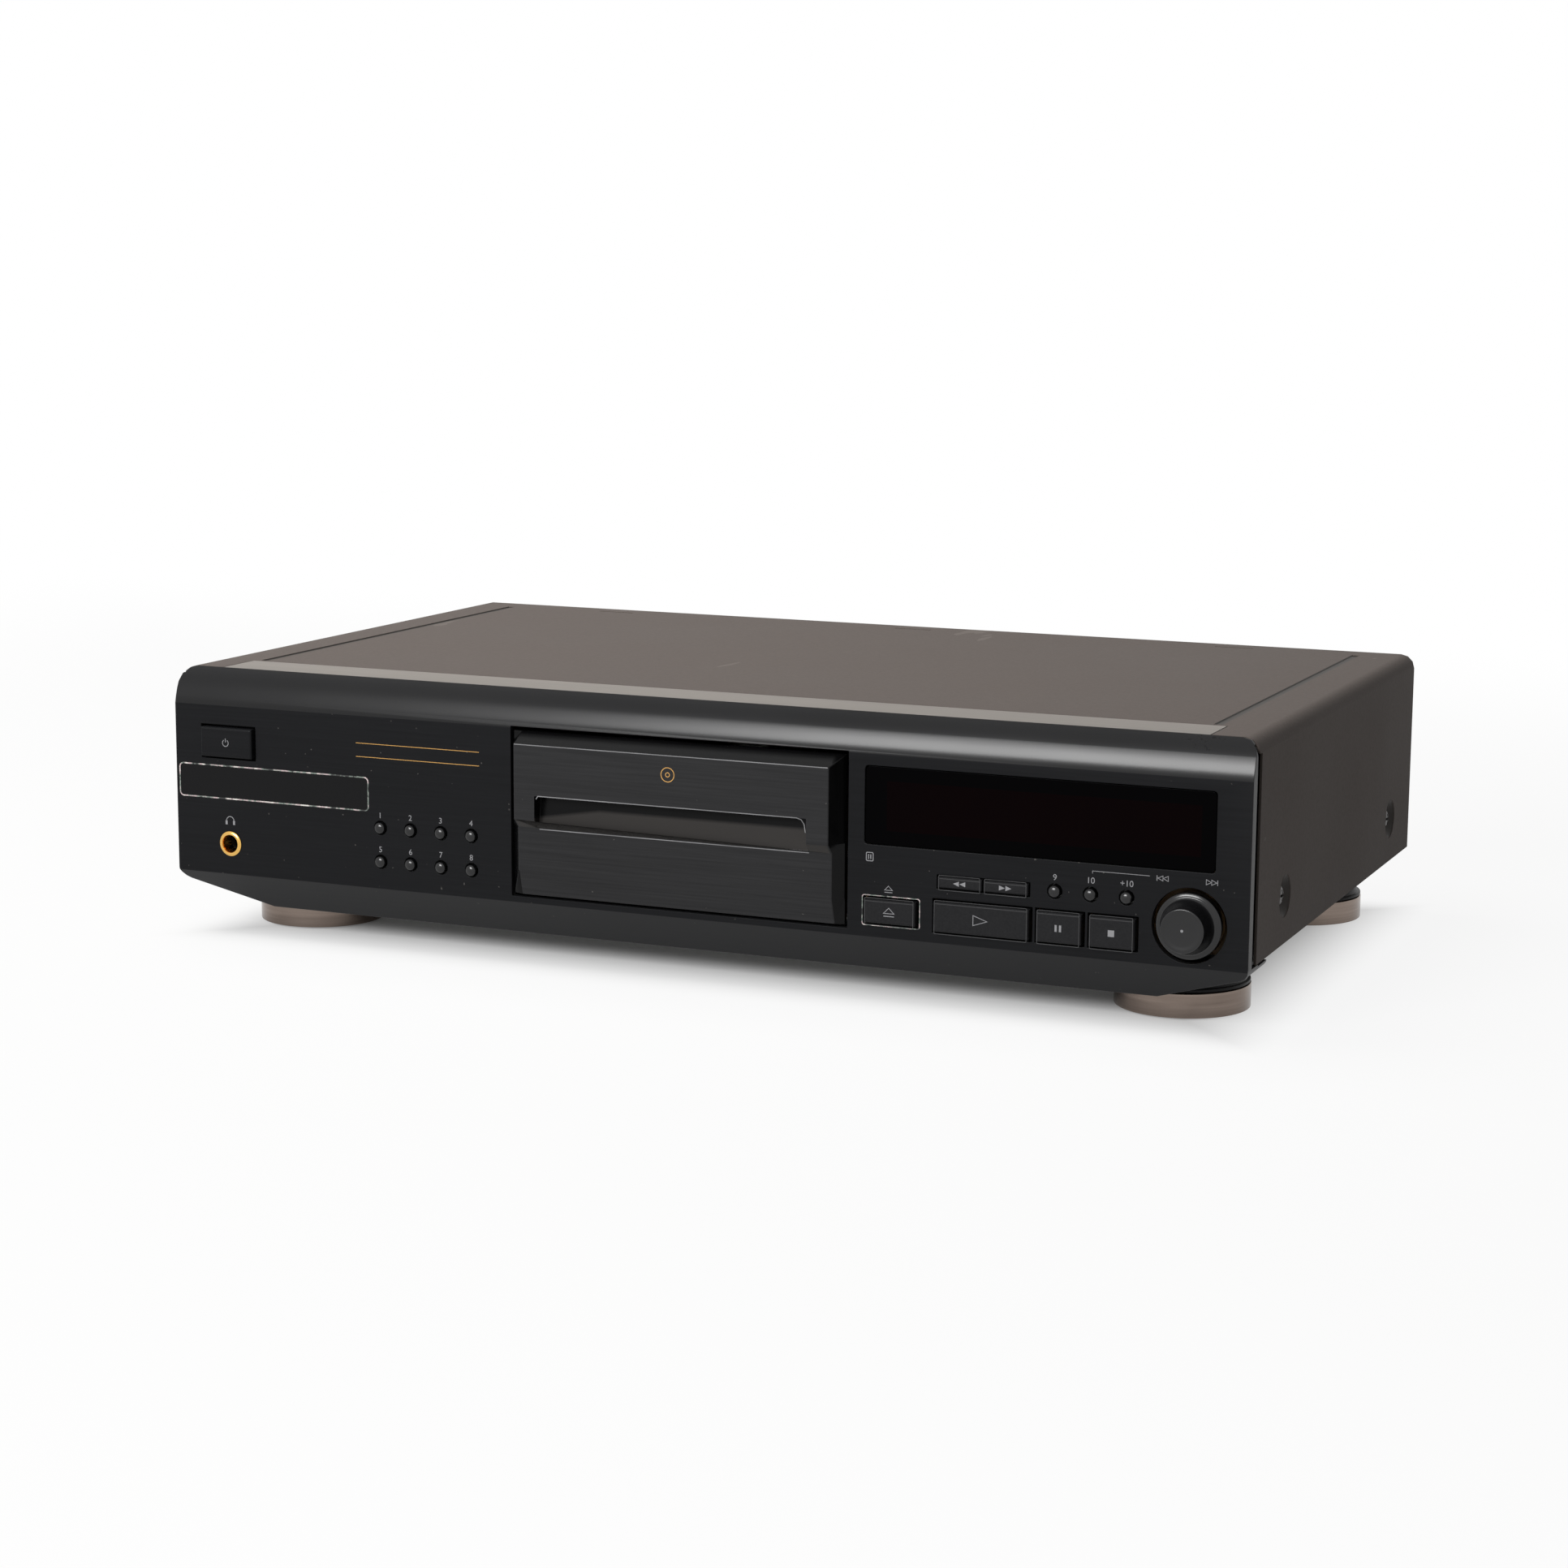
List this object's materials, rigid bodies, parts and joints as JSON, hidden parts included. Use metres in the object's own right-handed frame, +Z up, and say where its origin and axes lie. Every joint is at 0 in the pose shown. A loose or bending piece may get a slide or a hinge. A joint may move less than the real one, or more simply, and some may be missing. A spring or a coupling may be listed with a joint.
{
  "type": "cd player",
  "caption": "Full-width disc player with a powered drawer, clamp and spindle mechanism, jog dial, sprung buttons, display window, rear sockets and round metal-skirted feet.",
  "frame": {"origin": "centre of the bounding box at floor level, under the feet", "axes": "+X to the right seen from the front, +Y to the rear, +Z up; the front panel faces -Y"},
  "size_m": [0.43, 0.2664, 0.105],
  "materials": {
    "brushed_black": "fine horizontal brushing, satin",
    "taupe_paint": "matt fine-grained paint",
    "rear_paint": "matt paint",
    "bronze_metal": "satin bronze plating",
    "zinc_sheet": "plain zinc-plated sheet",
    "polished_rod": "ground and polished",
    "dark_iron": "varnished laminations",
    "smoked_window": "glossy smoked window",
    "key_plastic": "satin moulding",
    "black_plastic": "plain moulding",
    "white_plastic": "natural moulding",
    "circuit_board": "phenolic board, lacquered",
    "gold_plate": "polished gold plate",
    "coil_tape": "winding tape",
    "belt_rubber": "smooth rubber"
  },
  "bodies": {
    "case": {"front_panel": "brushed_black", "top_cover": "taupe_paint", "rear_panel": "rear_paint", "chassis_base": "zinc_sheet", "display_window": "smoked_window", "left_board": "circuit_board", "right_board": "circuit_board", "main_board": "circuit_board", "phones_bush": "gold_plate", "phones_socket": "black_plastic", "line_sockets": "white_plastic", "digital_socket": "black_plastic", "mains_inlet": "black_plastic", "transformer_core": "dark_iron", "transformer_coil": "coil_tape", "power_switch": "black_plastic", "loader_frame": "black_plastic", "loading_motor": "zinc_sheet", "loading_belt": "belt_rubber", "foot_front_left": "bronze_metal", "foot_front_right": "bronze_metal", "foot_rear_left": "bronze_metal", "foot_rear_right": "bronze_metal"},
    "tray": {"tray_door": "brushed_black", "disc_tray": "black_plastic"},
    "drive_wheel": {"drive_gear": "white_plastic"},
    "pulley_wheel": {"pulley_gear": "white_plastic"},
    "motor_wheel": {"motor_pulley": "white_plastic"},
    "base_unit": {"base_frame": "zinc_sheet", "guide_rod_left": "polished_rod", "guide_rod_right": "polished_rod", "laser_pickup": "black_plastic", "carriage_motor": "zinc_sheet"},
    "carriage": {"spindle_carriage": "black_plastic", "spindle_motor": "zinc_sheet"},
    "pinion_wheel": {"carriage_pinion": "white_plastic"},
    "disc_platter": {"turntable": "black_plastic"},
    "clamp_lever": {"clamp_arm": "zinc_sheet"},
    "clamp_disc": {"clamp_puck": "white_plastic"},
    "jog_dial": {"jog_knob": "key_plastic"},
    "power_button_body": {"power_button": "key_plastic"},
    "open_button_body": {"open_button": "key_plastic"},
    "rewind_button_body": {"rewind_button": "key_plastic"},
    "forward_button_body": {"forward_button": "key_plastic"},
    "play_button_body": {"play_button": "key_plastic"},
    "pause_button_body": {"pause_button": "key_plastic"},
    "stop_button_body": {"stop_button": "key_plastic"},
    "left_button_1_body": {"left_button_1": "key_plastic"},
    "left_button_2_body": {"left_button_2": "key_plastic"},
    "left_button_3_body": {"left_button_3": "key_plastic"},
    "left_button_4_body": {"left_button_4": "key_plastic"},
    "left_button_5_body": {"left_button_5": "key_plastic"},
    "left_button_6_body": {"left_button_6": "key_plastic"},
    "left_button_7_body": {"left_button_7": "key_plastic"},
    "left_button_8_body": {"left_button_8": "key_plastic"},
    "right_button_1_body": {"right_button_1": "key_plastic"},
    "right_button_2_body": {"right_button_2": "key_plastic"},
    "right_button_3_body": {"right_button_3": "key_plastic"}
  },
  "joints": [
    {"name": "tray_slide", "type": "slide", "parent": "case", "child": "tray", "axis": [0, -1, 0], "range_m": [0, 0.138]},
    {"name": "drive_spin", "type": "hinge", "parent": "case", "child": "drive_wheel", "pos_m": [-0.04415, -0.09175, 0.059], "axis": [0, 0, 1], "range_deg": [0, 660]},
    {"name": "pulley_spin", "type": "hinge", "parent": "case", "child": "pulley_wheel", "pos_m": [-0.02615, -0.09175, 0.055], "axis": [0, 0, 1], "range_deg": [-1320, 0]},
    {"name": "motor_spin", "type": "hinge", "parent": "case", "child": "motor_wheel", "pos_m": [0.014, -0.09175, 0.054], "axis": [0, 0, 1], "range_deg": [-3955, 0]},
    {"name": "base_tilt", "type": "hinge", "parent": "case", "child": "base_unit", "pos_m": [0, 0.04425, 0.0435], "axis": [1, 0, 0], "range_deg": [0, 3.01]},
    {"name": "carriage_slide", "type": "slide", "parent": "base_unit", "child": "carriage", "axis": [0, 1, 0], "range_m": [0, 0.034]},
    {"name": "pinion_spin", "type": "hinge", "parent": "base_unit", "child": "pinion_wheel", "pos_m": [0.0392, -0.03975, 0.0556], "axis": [0, 0, 1], "range_deg": [-325, 0]},
    {"name": "turntable_spin", "type": "hinge", "parent": "carriage", "child": "disc_platter", "pos_m": [0, -0.04375, 0.069], "axis": [0, 0, 1], "continuous": true},
    {"name": "clamp_lift", "type": "hinge", "parent": "carriage", "child": "clamp_lever", "pos_m": [0, 0.02325, 0.0795], "axis": [1, 0, 0], "range_deg": [-8.01, 0]},
    {"name": "puck_spin", "type": "hinge", "parent": "clamp_lever", "child": "clamp_disc", "pos_m": [0, -0.04375, 0.072], "axis": [0, 0, 1], "continuous": true},
    {"name": "jog_spin", "type": "hinge", "parent": "case", "child": "jog_dial", "pos_m": [0.1939, -0.12375, 0.0395], "axis": [0, 1, 0], "continuous": true},
    {"name": "power_button_press", "type": "slide", "parent": "case", "child": "power_button_body", "axis": [0, 1, 0], "range_m": [0, 0.004]},
    {"name": "open_button_press", "type": "slide", "parent": "case", "child": "open_button_body", "axis": [0, 1, 0], "range_m": [0, 0.001], "stiffness_N_per_m": 400, "springref_m": -0.0005},
    {"name": "rewind_button_press", "type": "slide", "parent": "case", "child": "rewind_button_body", "axis": [0, 1, 0], "range_m": [0, 0.001], "stiffness_N_per_m": 400, "springref_m": -0.0005},
    {"name": "forward_button_press", "type": "slide", "parent": "case", "child": "forward_button_body", "axis": [0, 1, 0], "range_m": [0, 0.001], "stiffness_N_per_m": 400, "springref_m": -0.0005},
    {"name": "play_button_press", "type": "slide", "parent": "case", "child": "play_button_body", "axis": [0, 1, 0], "range_m": [0, 0.001], "stiffness_N_per_m": 400, "springref_m": -0.0005},
    {"name": "pause_button_press", "type": "slide", "parent": "case", "child": "pause_button_body", "axis": [0, 1, 0], "range_m": [0, 0.001], "stiffness_N_per_m": 400, "springref_m": -0.0005},
    {"name": "stop_button_press", "type": "slide", "parent": "case", "child": "stop_button_body", "axis": [0, 1, 0], "range_m": [0, 0.001], "stiffness_N_per_m": 400, "springref_m": -0.0005},
    {"name": "left_button_1_press", "type": "slide", "parent": "case", "child": "left_button_1_body", "axis": [0, 1, 0], "range_m": [0, 0.001], "stiffness_N_per_m": 400, "springref_m": -0.0005},
    {"name": "left_button_2_press", "type": "slide", "parent": "case", "child": "left_button_2_body", "axis": [0, 1, 0], "range_m": [0, 0.001], "stiffness_N_per_m": 400, "springref_m": -0.0005},
    {"name": "left_button_3_press", "type": "slide", "parent": "case", "child": "left_button_3_body", "axis": [0, 1, 0], "range_m": [0, 0.001], "stiffness_N_per_m": 400, "springref_m": -0.0005},
    {"name": "left_button_4_press", "type": "slide", "parent": "case", "child": "left_button_4_body", "axis": [0, 1, 0], "range_m": [0, 0.001], "stiffness_N_per_m": 400, "springref_m": -0.0005},
    {"name": "left_button_5_press", "type": "slide", "parent": "case", "child": "left_button_5_body", "axis": [0, 1, 0], "range_m": [0, 0.001], "stiffness_N_per_m": 400, "springref_m": -0.0005},
    {"name": "left_button_6_press", "type": "slide", "parent": "case", "child": "left_button_6_body", "axis": [0, 1, 0], "range_m": [0, 0.001], "stiffness_N_per_m": 400, "springref_m": -0.0005},
    {"name": "left_button_7_press", "type": "slide", "parent": "case", "child": "left_button_7_body", "axis": [0, 1, 0], "range_m": [0, 0.001], "stiffness_N_per_m": 400, "springref_m": -0.0005},
    {"name": "left_button_8_press", "type": "slide", "parent": "case", "child": "left_button_8_body", "axis": [0, 1, 0], "range_m": [0, 0.001], "stiffness_N_per_m": 400, "springref_m": -0.0005},
    {"name": "right_button_1_press", "type": "slide", "parent": "case", "child": "right_button_1_body", "axis": [0, 1, 0], "range_m": [0, 0.001], "stiffness_N_per_m": 400, "springref_m": -0.0005},
    {"name": "right_button_2_press", "type": "slide", "parent": "case", "child": "right_button_2_body", "axis": [0, 1, 0], "range_m": [0, 0.001], "stiffness_N_per_m": 400, "springref_m": -0.0005},
    {"name": "right_button_3_press", "type": "slide", "parent": "case", "child": "right_button_3_body", "axis": [0, 1, 0], "range_m": [0, 0.001], "stiffness_N_per_m": 400, "springref_m": -0.0005}
  ],
  "couplings": [
    {"joint": "drive_spin", "follows": "tray_slide", "rad_per_m": 83.333},
    {"joint": "pulley_spin", "follows": "tray_slide", "rad_per_m": -166.67},
    {"joint": "motor_spin", "follows": "tray_slide", "rad_per_m": -500},
    {"joint": "base_tilt", "follows": "tray_slide", "rad_per_m": 0.37942},
    {"joint": "clamp_lift", "follows": "tray_slide", "rad_per_m": -1.0118},
    {"joint": "pinion_spin", "follows": "carriage_slide", "rad_per_m": -166.67},
    {"joint": "puck_spin", "follows": "turntable_spin", "ratio": 1}
  ]
}
